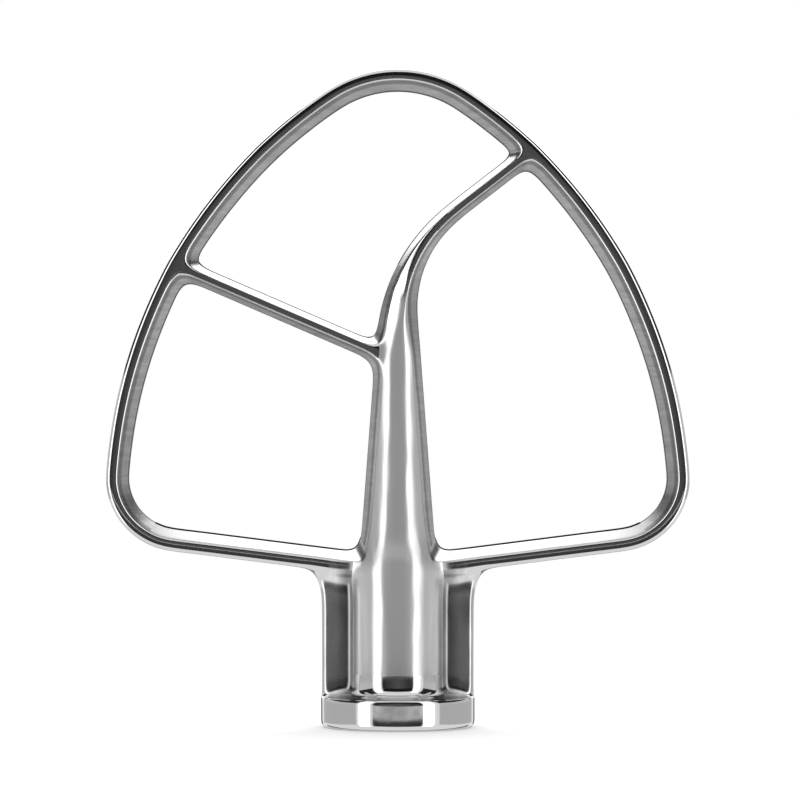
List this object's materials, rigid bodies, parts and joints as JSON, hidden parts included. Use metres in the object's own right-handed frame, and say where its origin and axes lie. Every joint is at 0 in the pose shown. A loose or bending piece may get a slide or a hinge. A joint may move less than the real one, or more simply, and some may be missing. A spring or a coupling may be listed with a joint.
{
  "type": "stand mixer flat beater",
  "caption": "Flat paddle beater for a stand mixer: an open, rounded leaf-shaped steel frame with a slanted bar and a curved branch on a tapered stem, and a hub with a quarter-turn shaft socket.",
  "frame": {"origin": "centre of the hub's end face, at the mouth of the shaft bore, on which the beater stands", "axes": "+Z along the shaft axis from the hub towards the tip of the paddle, +X across the paddle so that the curved branch leans to +X, -Y out of the front face of the paddle"},
  "size_m": [0.1346, 0.0354, 0.1519],
  "materials": {
    "steel": "bright polished stainless steel, satin on the window walls"
  },
  "bodies": {
    "root": {"flat_beater": "steel"}
  },
  "joints": []
}
